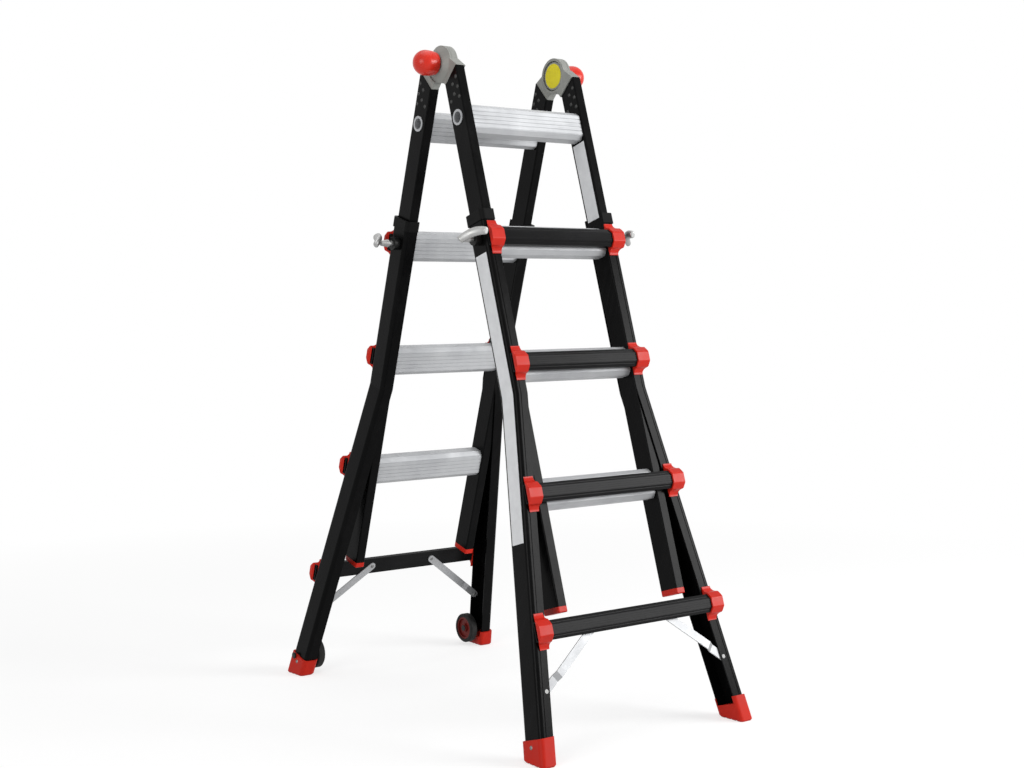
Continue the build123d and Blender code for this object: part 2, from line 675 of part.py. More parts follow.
def shoe(wheeled):
    """A boot on the rail's end, level below, with its core filling the channel."""
    reach = flare_at(SHOE_TOP)
    outline = Pos(reach + (OUTER_EDGE + OUTER_FACE) / 2, (OUTER_BACK + OUTER_FRONT) / 2) * RectangleRounded(
        OUTER_FACE - OUTER_EDGE + 2 * SHOE_WALL, OUTER_FRONT - OUTER_BACK + 2 * SHOE_WALL, SHOE_CORNER)
    boot = down_flare(outline, SHOE_TOP, FLOOR_FRONT + 2 * SHOE_WALL)
    core = span(OUTER_EDGE - SHOE_WALL - OVERCUT, VOID_SIDE, VOID_BACK, VOID_FRONT)
    boot -= down_flare(Pos(reach, 0) * core, SHOE_TOP, SHOE_TOP + SHOE_CORE_DROP)
    boot -= down_flare(Pos(reach, 0) * outer_rail_outline(), SHOE_TOP, RAIL_END)
    boot -= shoe_rivet_shank()
    return boot - axle_hole() if wheeled else boot


def shoe_rivet_shank():
    """Square to the flared web, from the web to the outside of the shoe."""
    d = SHOE_TOP + SHOE_WRAP / 2
    shank = Cylinder(RIVET_RADIUS, SHOE_WALL * cos(radians(FLARE)), align=STANDING)
    return Pos(OUTER_FACE + flare_at(d), -N_MID, -d) * Rot(0, -FLARE, 0) * Rot(0, 90, 0) * shank


def shoe_rivet():
    shank = shoe_rivet_shank()
    top = shank.faces().sort_by(Axis.X)[-1]
    return shank + Plane(origin=top.center(), z_dir=(1, 0, FLARE_SLOPE)).location * head_cone()


def on_floor(shape):
    """Cuts a placed shoe level with the floor and gives its sole cross grooves."""
    box = shape.bounding_box()
    size = box.size
    width = size.X + 2 * OVERCUT
    shape -= Pos(box.center().X, box.center().Y, -size.Z / 2) * Box(width, size.Y + 2 * OVERCUT, size.Z)
    shape = chamfer(shape.faces().sort_by(Axis.Z)[0].edges(), SOLE_CHAMFER)
    sole = shape.faces().sort_by(Axis.Z)[0].bounding_box()
    step = (sole.max.Y - sole.min.Y) / (TREAD_GROOVES + 1)
    for i in range(TREAD_GROOVES):
        y = sole.min.Y + step * (i + 1)
        shape -= Pos(box.center().X, y, 0) * Box(width, TREAD_WIDTH, 2 * TREAD_DEPTH)
    return shape


BRACE_TOP = OUTER_RUNGS[-1]
BRACE_LIMIT = AXLE_D - WHEEL_RADIUS - BRACE_WHEEL_CLEARANCE - BRACE_WIDTH / 2
BRACE_END = BRACE_TOP + BRACE_DROP_SHARE * (BRACE_LIMIT - BRACE_TOP)
BRACE_END_X = OUTER_EDGE + BRACE_RIVET_INSET + flare_at(BRACE_END)


def brace():
    """A strap from the back of the lowest rung, set back to lie inside the rail's front flange."""
    low = Vector(BRACE_END_X, 0, -BRACE_END)
    high = Vector(BRACE_RUNG_REACH, 0, -BRACE_TOP)
    plan = Sketch() + [disc(end.X, end.Z, BRACE_WIDTH / 2) for end in (low, high)]
    plan += make_hull(plan.edges())
    plan -= Sketch() + [disc(end.X, end.Z, RIVET_RADIUS) for end in (low, high)]
    length = (high - low).length + BRACE_WIDTH
    joggle_end = BRACE_JOGGLE_START + BRACE_JOGGLE_RUN
    inside = VOID_FRONT - BRACE_THICKNESS
    edge = polygon(
        (-BRACE_WIDTH, inside), (BRACE_JOGGLE_START, inside), (joggle_end, OUTER_FRONT),
        (length, OUTER_FRONT), (length, RUNG_BACK), (joggle_end, RUNG_BACK),
        (BRACE_JOGGLE_START, VOID_FRONT), (-BRACE_WIDTH, VOID_FRONT))
    along = Plane(origin=low, x_dir=high - low, z_dir=(high - low).cross(Vector(0, -1, 0)))
    return outward(plan, inside, RUNG_BACK) & extrude(along * edge, amount=BRACE_WIDTH, both=True)


def lock_housing():
    """The bush and spring room of a section lock, on the outside of the rail."""
    body = rod(LOCK_D, N_MID, HOUSING_RADIUS, OUTER_FACE, HOUSING_END)
    body -= rod(LOCK_D, N_MID, BOLT_RADIUS + RUNNING_CLEARANCE, OUTER_FACE - OVERCUT, BUSH_END)
    body -= rod(LOCK_D, N_MID, HOUSING_CAVITY, BUSH_END, HOUSING_END - HOUSING_END_WALL)
    return body - rod(LOCK_D, N_MID, BOLT_STEM + RUNNING_CLEARANCE, BUSH_END, HOUSING_END + OVERCUT)


# Section locks, with the bolts just clear of the swaged rung ends
BOLT_TIP = SWAGE_FACE + BOLT_CLEAR
BUSH_END = OUTER_FACE + BUSH_LENGTH
BOLT_SHOULDER = BUSH_END + SPRING_CLEARANCE
SPRING_SEAT = BOLT_SHOULDER + BOLT_PULL + SPRING_CLEARANCE + LOCK_SPRING_LENGTH
HOUSING_END = SPRING_SEAT + HOUSING_END_WALL
BOSS_IN = HOUSING_END + BOLT_REACH + STOP_CLEARANCE
LEVER_TAIL_X = OUTER_FACE + BRACKET_OVERHANG + BOLT_REACH + LEVER_TAIL_GAP + LEVER_FLATNESS * LEVER_TAIL_RADIUS


def lever_point(out, ahead, rise):
    """A point of the pull lever: beyond its tail, ahead of the bolt's axis and above it."""
    return Vector(LEVER_TAIL_X + out, -N_MID - ahead, rise - LOCK_D)


def lock_lever():
    """A bolt with its stem, and a horn-shaped pull lever on the stem's end."""
    lever = rod(LOCK_D, N_MID, BOLT_RADIUS, BOLT_TIP, BOLT_SHOULDER)
    lever += rod(LOCK_D, N_MID, BOLT_STEM, BOLT_SHOULDER, BOSS_IN + LEVER_BOSS / 2)
    boss = Cone(LEVER_BOSS_RADIUS, LEVER_FLATNESS * LEVER_TIP_RADIUS, LEVER_BOSS, align=STANDING)
    lever += Pos(BOSS_IN, -N_MID, -LOCK_D) * Rot(0, 90, 0) * boss
    path = ThreePointArc(
        lever_point(0, LEVER_TAIL_FORWARD, -LEVER_TAIL_DROP),
        lever_point(LEVER_MIDDLE_OUT, LEVER_MIDDLE_FORWARD, LEVER_ARCH),
        lever_point(LEVER_TIP_OUT, LEVER_TIP_FORWARD, -LEVER_TIP_DROP))
    stations = ((0, LEVER_TAIL_RADIUS), (0.5, LEVER_RADIUS), (1, LEVER_TIP_RADIUS))
    sections = [
        Plane(origin=path @ at, x_dir=(0, 0, 1), z_dir=path % at) * Ellipse(radius, LEVER_FLATNESS * radius)
        for at, radius in stations
    ]
    horn = sweep(sections, path=path, multisection=True)
    horn = fillet(horn.faces().filter_by(GeomType.PLANE).edges(), LEVER_END_ROUND)
    return lever + horn


def lock_spring():
    """In the housing, between its end wall and the shoulder of the bolt."""
    start = SPRING_SEAT - LOCK_SPRING_LENGTH
    spring = coil(LOCK_SPRING_RADIUS, LOCK_SPRING_WIRE, LOCK_SPRING_TURNS, LOCK_SPRING_LENGTH, start)
    return Pos(0, -N_MID, -LOCK_D) * spring


# Wheels and axles of the rear half
WHEEL_OUT = OUTER_EDGE + flare_at(AXLE_D - WHEEL_RADIUS) - WHEEL_RAIL_GAP
WHEEL_IN = WHEEL_OUT - WHEEL_WIDTH
HUB_IN_FACE = WHEEL_IN + HUB_INSET
HUB_OUT_FACE = WHEEL_OUT - HUB_INSET


def wheel_hub():
    hub = rod(AXLE_D, AXLE_N, HUB_RIM_RADIUS, HUB_IN_FACE, HUB_OUT_FACE)
    dish = disc(AXLE_N, AXLE_D, HUB_RIM_RADIUS - HUB_RIM_WALL)
    dish -= disc(AXLE_N, AXLE_D, AXLE_RADIUS + HUB_BOSS_WALL)
    hub -= along_x(dish, HUB_IN_FACE, HUB_IN_FACE + HUB_DISH)
    hub -= along_x(dish, HUB_OUT_FACE - HUB_DISH, HUB_OUT_FACE)
    return hub - rod(AXLE_D, AXLE_N, AXLE_RADIUS + RUNNING_CLEARANCE, WHEEL_IN, WHEEL_OUT)


def wheel_tyre():
    tyre = rod(AXLE_D, AXLE_N, WHEEL_RADIUS, WHEEL_IN, WHEEL_OUT)
    tyre = chamfer(tyre.edges().filter_by(GeomType.CIRCLE), TYRE_CHAMFER)
    return tyre - rod(AXLE_D, AXLE_N, HUB_RIM_RADIUS, WHEEL_IN - OVERCUT, WHEEL_OUT + OVERCUT)


def wheel_axle():
    """A bolt through the shoe and the rail, with a spacer collar up to the wheel and a clip beyond it."""
    head = OUTER_FACE + SHOE_WALL + flare_at(AXLE_D + AXLE_HEAD_RADIUS)
    clip = HUB_IN_FACE - WHEEL_PLAY
    web = VOID_SIDE + flare_at(AXLE_D - AXLE_COLLAR)
    axle = rod(AXLE_D, AXLE_N, AXLE_RADIUS, clip - AXLE_CIRCLIP, head)
    axle += rod(AXLE_D, AXLE_N, AXLE_HEAD_RADIUS, head, head + AXLE_HEAD)
    axle += rod(AXLE_D, AXLE_N, AXLE_COLLAR, HUB_OUT_FACE + WHEEL_PLAY, web)
    return axle + rod(AXLE_D, AXLE_N, AXLE_COLLAR, clip - AXLE_CIRCLIP, clip)


def outer_rivets():
    """Rivets of a brace, countersunk in the rail and headed behind the rung, and of a shoe."""
    low = face_rivet(BRACE_END_X, BRACE_END, OUTER_FRONT, VOID_FRONT - BRACE_THICKNESS)
    low += sunk_head(BRACE_END_X, BRACE_END, OUTER_FRONT)
    high = face_rivet(BRACE_RUNG_REACH, BRACE_TOP, RUNG_BACK, OUTER_FRONT)
    return group(low, high, shoe_rivet())


# The nodes
nodes = {}
for half_name, place in (("front", front), ("rear", rear)):
    wheeled = half_name == "rear"
    rail = outer_rail(wheeled)
    nodes[f"{half_name}_left_outer_rail"] = place(left(rail))
    nodes[f"{half_name}_right_outer_rail"] = place(rail)
    for number, d in enumerate(OUTER_RUNGS, 1):
        nodes[f"{half_name}_outer_rung_{number}"] = place(outer_rung(d))
    nodes[f"{half_name}_rung_brackets"] = place(both(group(*[rung_bracket(d) for d in OUTER_RUNGS])))
    nodes[f"{half_name}_rail_collars"] = place(both(collar()))
    boots = both(on_floor(front(shoe(wheeled))))
    nodes[f"{half_name}_shoes"] = mirror(boots, about=Plane.XZ) if wheeled else boots
    nodes[f"{half_name}_braces"] = place(both(brace()))
    nodes[f"{half_name}_outer_rivets"] = place(both(outer_rivets()))
    nodes[f"{half_name}_lock_housings"] = place(both(lock_housing()))
    nodes[f"{half_name}_lock_springs"] = place(both(lock_spring()))

    rail = inner_rail()
    nodes[f"{half_name}_left_inner_rail"] = place(left(rail))
    nodes[f"{half_name}_right_inner_rail"] = place(rail)
    for number, d in enumerate(INNER_RUNGS, 1):
        nodes[f"{half_name}_inner_rung_{number}"] = place(inner_rung(d))
    nodes[f"{half_name}_end_caps"] = place(both(end_cap()))
    nodes[f"{half_name}_hinge_leaves"] = place(both(rear_leaf() if wheeled else front_leaf()))
    nodes[f"{half_name}_leaf_rivets"] = place(both(leaf_rivets()))

    lever = lock_lever()
    nodes[f"{half_name}_left_lock_lever"] = place(left(lever))
    nodes[f"{half_name}_right_lock_lever"] = place(lever)

nodes["hinge_pivots"] = rear(both(hinge_pivot()))
nodes["hinge_springs"] = rear(both(hinge_spring()))
nodes["wheel_axles"] = rear(both(wheel_axle()))
for side_name, turn_side in (("left", left), ("right", lambda shape: shape)):
    nodes[f"{side_name}_hinge_knob"] = front(turn_side(hinge_knob()))
    nodes[f"{side_name}_hinge_lock_plate"] = front(turn_side(hinge_lock_plate()))
    nodes[f"{side_name}_wheel_hub"] = rear(turn_side(wheel_hub()))
    nodes[f"{side_name}_wheel_tyre"] = rear(turn_side(wheel_tyre()))

os.makedirs("parts", exist_ok=True)
for name, shape in nodes.items():
    export_step(group(shape), f"parts/{name}.step")
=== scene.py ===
"""The looks of a telescopic combination ladder that stands as an A-frame."""
import json
from math import cos, pi, radians, sin

import bmesh
import bpy
from mathutils import Matrix, Vector
from mathutils.bvhtree import BVHTree


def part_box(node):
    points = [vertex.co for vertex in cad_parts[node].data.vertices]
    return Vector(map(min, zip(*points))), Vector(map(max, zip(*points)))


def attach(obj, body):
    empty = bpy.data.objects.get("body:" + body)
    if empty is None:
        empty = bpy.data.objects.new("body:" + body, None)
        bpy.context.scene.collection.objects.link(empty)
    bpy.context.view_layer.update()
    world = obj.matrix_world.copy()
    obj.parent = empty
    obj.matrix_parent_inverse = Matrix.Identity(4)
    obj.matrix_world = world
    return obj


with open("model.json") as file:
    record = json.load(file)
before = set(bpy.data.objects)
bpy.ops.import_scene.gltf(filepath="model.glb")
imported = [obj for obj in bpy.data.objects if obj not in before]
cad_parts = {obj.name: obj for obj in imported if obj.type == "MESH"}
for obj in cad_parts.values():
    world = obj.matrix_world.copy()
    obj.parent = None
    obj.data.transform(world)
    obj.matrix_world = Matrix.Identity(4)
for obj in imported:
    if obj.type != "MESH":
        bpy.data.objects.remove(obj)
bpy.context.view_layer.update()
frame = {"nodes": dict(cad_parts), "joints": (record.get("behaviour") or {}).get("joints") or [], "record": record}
nodes = frame["nodes"]
joints = {joint["name"]: joint for joint in frame["joints"]}

# Frame of the front half: d runs down the rails from the hinge axis, n outward from the meeting plane
HINGE = Vector(joints["main_hinge"]["pos_m"])
UP_FRONT = Vector(joints["front_section_slide"]["axis"]).normalized()
OUT_FRONT = Vector((0.0, -UP_FRONT.z, UP_FRONT.y))
SIDE = Vector((1.0, 0.0, 0.0))


def front_point(x, d, n):
    return HINGE + SIDE * x - UP_FRONT * d + OUT_FRONT * n


# Camera, as fitted to the photograph: metres, degrees and pixels of a picture 1024 wide
CAMERA_PLACE = (-2.1481, -2.8732, 0.9230)
CAMERA_YAW = 37.107
CAMERA_PITCH = 3.121
CAMERA_ROLL = -0.33
CAMERA_FOCUS = 1551.8
PICTURE_WIDTH = 1024.0
SENSOR = 36.0


def add_camera():
    yaw, pitch, roll = radians(CAMERA_YAW), radians(CAMERA_PITCH), radians(CAMERA_ROLL)
    ahead = Vector((sin(yaw) * cos(pitch), cos(yaw) * cos(pitch), -sin(pitch)))
    right = Vector((cos(yaw), -sin(yaw), 0.0))
    up = right.cross(ahead)
    tilted_right = right * cos(roll) + up * sin(roll)
    tilted_up = up * cos(roll) - right * sin(roll)
    data = bpy.data.cameras.new("camera")
    data.sensor_width = SENSOR
    data.lens = CAMERA_FOCUS / PICTURE_WIDTH * SENSOR
    camera = bpy.data.objects.new("camera", data)
    turn = Matrix((tilted_right, tilted_up, -ahead)).transposed()
    camera.matrix_world = Matrix.Translation(CAMERA_PLACE) @ turn.to_4x4()
    bpy.context.scene.collection.objects.link(camera)
    bpy.context.scene.camera = camera


# Node helpers, with the values that most of a noise lies between
NOISE_LOW = 0.3
NOISE_HIGH = 0.7


def new_material(name):
    material = bpy.data.materials.new(name)
    material.use_nodes = True
    tree = material.node_tree
    return material, tree, tree.nodes["Principled BSDF"]


def add_node(tree, kind, **settings):
    node = tree.nodes.new(kind)
    for key, value in settings.items():
        setattr(node, key, value)
    return node


def object_coords(tree, lean=0.0, stretch=(1.0, 1.0, 1.0)):
    """The piece's own coordinates, turned about X by the lean and squeezed along chosen axes."""
    coords = add_node(tree, "ShaderNodeTexCoord")
    turn = add_node(tree, "ShaderNodeMapping")
    turn.inputs["Rotation"].default_value = (radians(lean), 0.0, 0.0)
    scale = add_node(tree, "ShaderNodeMapping")
    scale.inputs["Scale"].default_value = stretch
    tree.links.new(coords.outputs["Object"], turn.inputs["Vector"])
    tree.links.new(turn.outputs["Vector"], scale.inputs["Vector"])
    return scale.outputs["Vector"]


def noise(tree, vector, scale, detail, roughness=0.55):
    node = add_node(tree, "ShaderNodeTexNoise")
    node.inputs["Scale"].default_value = scale
    node.inputs["Detail"].default_value = detail
    node.inputs["Roughness"].default_value = roughness
    tree.links.new(vector, node.inputs["Vector"])
    return node.outputs["Fac"]


def spread(tree, value, taken, given=(0.0, 1.0)):
    """Maps a stretch of a value to another stretch, clamped at its ends."""
    node = add_node(tree, "ShaderNodeMapRange")
    ends = (("From Min", taken[0]), ("From Max", taken[1]), ("To Min", given[0]), ("To Max", given[1]))
    for key, number in ends:
        node.inputs[key].default_value = number
    tree.links.new(value, node.inputs["Value"])
    return node.outputs["Result"]


def spread_noise(tree, value, given=(0.0, 1.0)):
    return spread(tree, value, (NOISE_LOW, NOISE_HIGH), given)


def mix_colours(tree, factor, first, second):
    node = add_node(tree, "ShaderNodeMix", data_type="RGBA")
    tree.links.new(factor, node.inputs["Factor"])
    node.inputs["A"].default_value = (*first, 1.0)
    node.inputs["B"].default_value = (*second, 1.0)
    return node.outputs["Result"]


def tinted(tone, tint):
    return tuple(tone * part for part in tint)


def combine(tree, operation, first, second):
    node = add_node(tree, "ShaderNodeMath", operation=operation)
    tree.links.new(first, node.inputs[0])
    tree.links.new(second, node.inputs[1])
    return node.outputs["Value"]


def add_bump(tree, shader, height, distance, strength):
    node = add_node(tree, "ShaderNodeBump")
    node.inputs["Distance"].default_value = distance
    node.inputs["Strength"].default_value = strength
    tree.links.new(height, node.inputs["Height"])
    tree.links.new(node.outputs["Normal"], shader.inputs["Normal"])


# Black anodised aluminium
DIE_LINES = {"scale": 420.0, "detail": 2.0}
DIE_LINES_BUMP = {"distance": 0.00012, "strength": 0.35}
WIDE_CLOUD = {"scale": 9.0, "detail": 4.0}
SCUFFS = {"scale": 60.0, "detail": 6.0, "roughness": 0.7}
WEAR = (0.2, 0.42)
DARK_TINT = (1.0, 1.0, 1.04)
PALE_TINT = (1.0, 1.0, 1.05)
ANODISED_ROUGHNESS = (0.2, 0.3)
ANODISED_GLOSS = 0.052


def black_extrusion(name, lean, stretch, dark, pale):
    """Black anodised aluminium with faint die lines along the extrusion and soft scuffs."""
    material, tree, shader = new_material(name)
    along = object_coords(tree, lean, stretch)
    lines = noise(tree, along, **DIE_LINES)
    cloud = noise(tree, object_coords(tree), **WIDE_CLOUD)
    scuff = noise(tree, along, **SCUFFS)
    worn = spread(tree, combine(tree, "MULTIPLY", cloud, scuff), WEAR)
    colour = mix_colours(tree, worn, tinted(dark, DARK_TINT), tinted(pale, PALE_TINT))
    tree.links.new(colour, shader.inputs["Base Color"])
    tree.links.new(spread_noise(tree, scuff, ANODISED_ROUGHNESS), shader.inputs["Roughness"])
    shader.inputs["Specular IOR Level"].default_value = ANODISED_GLOSS
    add_bump(tree, shader, lines, **DIE_LINES_BUMP)
    return material


# Bare aluminium
DRAWN_LINES = {"scale": 520.0, "detail": 3.0}
DRAWN_LINES_BUMP = {"distance": 0.0001, "strength": 0.5}
DULL_CLOUD = {"scale": 14.0, "detail": 4.0}
DULL_TINT = (0.86, 0.875, 0.9)
BRIGHT_TINT = (0.985, 1.0, 1.02)
LINES_SMOOTHING = (0.8, 1.0)


def bare_aluminium(name, stretch, tone, metallic, roughness):
    """Mill-finish aluminium with drawn lines along the extrusion and dull patches."""
    material, tree, shader = new_material(name)
    smooth, rough = roughness
    lines = noise(tree, object_coords(tree, 0.0, stretch), **DRAWN_LINES)
    cloud = noise(tree, object_coords(tree), **DULL_CLOUD)
    drift = spread_noise(tree, cloud)
    colour = mix_colours(tree, drift, tinted(tone, DULL_TINT), tinted(tone, BRIGHT_TINT))
    tree.links.new(colour, shader.inputs["Base Color"])
    shader.inputs["Metallic"].default_value = metallic
    dull = spread_noise(tree, cloud, (rough, smooth))
    lined = combine(tree, "MULTIPLY", spread_noise(tree, lines, LINES_SMOOTHING), dull)
    tree.links.new(lined, shader.inputs["Roughness"])
    add_bump(tree, shader, lines, **DRAWN_LINES_BUMP)
    return material


# Moulded plastic: the grain's scale, and its depth in metres
FINE_GRAIN = 1400.0
FINE_DEPTH = 0.00006
COARSE_GRAIN = 900.0
COARSE_DEPTH = 0.00012
GRAIN_DETAIL = 2.0
GRAIN_STRENGTH = 0.5
PLASTIC_CLOUD = {"scale": 24.0, "detail": 3.0}
PLASTIC_DRIFT = (0.35, 0.65)


def moulded_plastic(name, colour, shade, roughness, gloss, grain=FINE_GRAIN, depth=FINE_DEPTH):
    """Injection-moulded plastic with a fine sparked grain and slight colour drift."""
    material, tree, shader = new_material(name)
    fine = noise(tree, object_coords(tree), grain, GRAIN_DETAIL)
    cloud = noise(tree, object_coords(tree), **PLASTIC_CLOUD)
    tree.links.new(mix_colours(tree, spread_noise(tree, cloud), shade, colour), shader.inputs["Base Color"])
    tree.links.new(spread(tree, cloud, PLASTIC_DRIFT, roughness), shader.inputs["Roughness"])
    shader.inputs["Specular IOR Level"].default_value = gloss
    add_bump(tree, shader, fine, depth, GRAIN_STRENGTH)
    return material


# Coated castings
PEBBLES = {"scale": 700.0, "detail": 3.0}
PEBBLES_BUMP = {"distance": 0.00015, "strength": 0.5}
CAST_CLOUD = {"scale": 30.0, "detail": 4.0}
CAST_ROUGHNESS = (0.52, 0.68)
CAST_METALLIC = 0.2
CAST_GLOSS = 0.3


def cast_metal(name, colour, shade):
    """Grey coated casting with a pebbled, nearly matt skin."""
    material, tree, shader = new_material(name)
    pebble = noise(tree, object_coords(tree), **PEBBLES)
    cloud = noise(tree, object_coords(tree), **CAST_CLOUD)
    tree.links.new(mix_colours(tree, spread_noise(tree, cloud), shade, colour), shader.inputs["Base Color"])
    tree.links.new(spread_noise(tree, pebble, CAST_ROUGHNESS), shader.inputs["Roughness"])
    shader.inputs["Metallic"].default_value = CAST_METALLIC
    shader.inputs["Specular IOR Level"].default_value = CAST_GLOSS
    add_bump(tree, shader, pebble, **PEBBLES_BUMP)
    return material


# Plated steel
BLOTCHES = {"scale": 60.0, "detail": 4.0}
HANDLING = {"scale": 900.0, "detail": 2.0}
HANDLING_BUMP = {"distance": 0.00004, "strength": 0.4}
BLOTCH_TINT = (0.84, 0.84, 0.82)
PLATE_TINT = (1.0, 1.0, 1.0)


def plated_steel(name, tone, roughness):
    """Zinc-plated steel with soft blotches and handling marks."""
    material, tree, shader = new_material(name)
    cloud = noise(tree, object_coords(tree), **BLOTCHES)
    fine = noise(tree, object_coords(tree), **HANDLING)
    drift = spread_noise(tree, cloud)
    colour = mix_colours(tree, drift, tinted(tone, BLOTCH_TINT), tinted(tone, PLATE_TINT))
    tree.links.new(colour, shader.inputs["Base Color"])
    shader.inputs["Metallic"].default_value = 1.0
    tree.links.new(spread_noise(tree, cloud, roughness), shader.inputs["Roughness"])
    add_bump(tree, shader, fine, **HANDLING_BUMP)
    return material


# Rubber
RUBBER_GRAIN = {"scale": 1100.0, "detail": 3.0}
RUBBER_BUMP = {"distance": 0.0001, "strength": 0.6}
RUBBER_DUST = {"scale": 45.0, "detail": 5.0}
DUST_FROM = (0.45, 0.75)
RUBBER_CLEAN = (0.009, 0.009, 0.009)
RUBBER_DUSTY = (0.022, 0.021, 0.02)
RUBBER_ROUGHNESS = (0.6, 0.8)
RUBBER_GLOSS = 0.2


def tyre_rubber(name):
    """Black rubber with a fine grain and a little dust."""
    material, tree, shader = new_material(name)
    grain = noise(tree, object_coords(tree), **RUBBER_GRAIN)
    dust = spread(tree, noise(tree, object_coords(tree), **RUBBER_DUST), DUST_FROM)
    tree.links.new(mix_colours(tree, dust, RUBBER_CLEAN, RUBBER_DUSTY), shader.inputs["Base Color"])
    shader.inputs["Specular IOR Level"].default_value = RUBBER_GLOSS
    tree.links.new(spread_noise(tree, grain, RUBBER_ROUGHNESS), shader.inputs["Roughness"])
    add_bump(tree, shader, grain, **RUBBER_BUMP)
    return material


# Film
SMUDGES = {"scale": 38.0, "detail": 5.0, "roughness": 0.6}
SMUDGE_FROM = (0.35, 0.75)
FILM_GRAIN = {"scale": 800.0, "detail": 2.0}
FILM_BUMP = {"distance": 0.00003, "strength": 0.3}
FILM_ROUGHNESS = (0.32, 0.48)
FILM_GLOSS = 0.25


def label_stock(name, colour, shade):
    """Blank film with slightly uneven gloss and faint handling smudges."""
    material, tree, shader = new_material(name)
    smudge = noise(tree, object_coords(tree), **SMUDGES)
    fine = noise(tree, object_coords(tree), **FILM_GRAIN)
    worn = spread(tree, smudge, SMUDGE_FROM)
    tree.links.new(mix_colours(tree, worn, colour, shade), shader.inputs["Base Color"])
    tree.links.new(spread_noise(tree, smudge, FILM_ROUGHNESS), shader.inputs["Roughness"])
    shader.inputs["Specular IOR Level"].default_value = FILM_GLOSS
    add_bump(tree, shader, fine, **FILM_BUMP)
    return material


# Colours and tones
RED = (0.58, 0.019, 0.008)
RED_SHADE = (0.49, 0.015, 0.0065)
# The knobs' red is a lighter copy of the red plastic: painted light that stands in for the highlight the knobs
# catch.
PAINTED_LIT_KNOB_RED = (0.7, 0.027, 0.012)
PAINTED_LIT_KNOB_RED_SHADE = (0.61, 0.022, 0.01)
SHOE_RED = (0.54, 0.02, 0.009)
SHOE_RED_SHADE = (0.45, 0.014, 0.007)
DARK_RED = (0.15, 0.01, 0.007)
DARK_RED_SHADE = (0.11, 0.007, 0.005)
BLACK = (0.006, 0.006, 0.006)
BLACK_SHADE = (0.004, 0.004, 0.004)
CAST_GREY = (0.3, 0.305, 0.285)
CAST_GREY_SHADE = (0.245, 0.25, 0.235)
FILM_WHITE = (0.74, 0.75, 0.765)
FILM_WHITE_SHADE = (0.65, 0.66, 0.675)
FILM_YELLOW = (0.78, 0.68, 0.02)
FILM_YELLOW_SHADE = (0.68, 0.58, 0.018)
RAIL_TONES = {"dark": 0.002, "pale": 0.0045}
RUNG_TONES = {"dark": 0.009, "pale": 0.014}

# The directions of the lines on the extrusions, and the rails' lean in degrees
ALONG_RAIL = (1.0, 1.0, 0.02)
ALONG_RUNG = (0.02, 1.0, 1.0)
EVEN = (1.0, 1.0, 1.0)
LEAN = 17.0


def slot_materials():
    """A material for each slot of the record, with the rear rails, the hinge rivets and the knobs apart; the
    knobs' red is lighter, painted light that stands in for their highlight.
    """
    return {
        "black_rails": black_extrusion("black_rail_front", -LEAN, ALONG_RAIL, **RAIL_TONES),
        "black_rails_rear": black_extrusion("black_rail_rear", LEAN, ALONG_RAIL, **RAIL_TONES),
        "black_rungs": black_extrusion("black_rung", 0.0, ALONG_RUNG, **RUNG_TONES),
        "bare_rungs": bare_aluminium("bare_rung", ALONG_RUNG, tone=0.475, metallic=1.0,
                                     roughness=(0.66, 0.8)),
        "bare_straps": bare_aluminium("bare_strap", EVEN, tone=0.42, metallic=0.4,
                                      roughness=(0.45, 0.6)),
        "rivets": plated_steel("rivet", tone=0.2, roughness=(0.42, 0.55)),
        "leaf_rivets": plated_steel("leaf_rivet", tone=0.06, roughness=(0.5, 0.62)),
        "cast_hinge": cast_metal("cast_hinge", CAST_GREY, CAST_GREY_SHADE),
        "red_plastic": moulded_plastic("red_plastic", RED, RED_SHADE,
                                       roughness=(0.3, 0.42), gloss=0.16),
        # The knobs' lighter red is painted light for their highlight.
        "knobs": moulded_plastic("knob_plastic_painted_lit", PAINTED_LIT_KNOB_RED, PAINTED_LIT_KNOB_RED_SHADE,
                                 roughness=(0.24, 0.32), gloss=0.3),
        "red_shoes": moulded_plastic("red_shoe", SHOE_RED, SHOE_RED_SHADE,
                                     roughness=(0.42, 0.56), gloss=0.14,
                                     grain=COARSE_GRAIN, depth=COARSE_DEPTH),
        "black_plastic": moulded_plastic("black_plastic", BLACK, BLACK_SHADE,
                                         roughness=(0.42, 0.55), gloss=0.06),
        "black_steel": plated_steel("black_steel", tone=0.03, roughness=(0.4, 0.5)),
        "spring_steel": plated_steel("spring_steel", tone=0.4, roughness=(0.3, 0.42)),
        "lever_steel": plated_steel("lever_steel", tone=0.42, roughness=(0.42, 0.55)),
        "pin_steel": plated_steel("pin_steel", tone=0.45, roughness=(0.3, 0.42)),
        "tyre": tyre_rubber("tyre_rubber"),
        "wheel_plastic": moulded_plastic("wheel_plastic", DARK_RED, DARK_RED_SHADE,
                                         roughness=(0.4, 0.55), gloss=0.2),
    }


def finish_of(name, slot):
    """The key of a node's material."""
    if slot == "black_rails" and name.startswith("rear"):
        return "black_rails_rear"
    if name.endswith("leaf_rivets"):
        return "leaf_rivets"
    # The knobs take the lighter red, painted light for their highlight.
    if name.endswith("knob"):
        return "knobs"
    return slot


# Widths of the rounded edges in metres, by slot; the collars' walls are too thin for their slot's width
ROUNDING = {
    "black_rails": 0.0009,
    "black_rungs": 0.0003,
    "bare_rungs": 0.0003,
    "bare_straps": 0.0005,
    "cast_hinge": 0.0012,
    "red_plastic": 0.0025,
    "red_shoes": 0.003,
    "black_plastic": 0.0008,
    "black_steel": 0.0008,
    "lever_steel": 0.0006,
    "pin_steel": 0.0005,
}
COLLAR_ROUNDING = 0.0003
EDGE_SEGMENTS = 3
WELD_DISTANCE = 0.00001
FLAT_ANGLE = radians(0.5)
EDGE_ANGLE = radians(32.0)
SOFT_EDGE_ANGLE = radians(14.0)


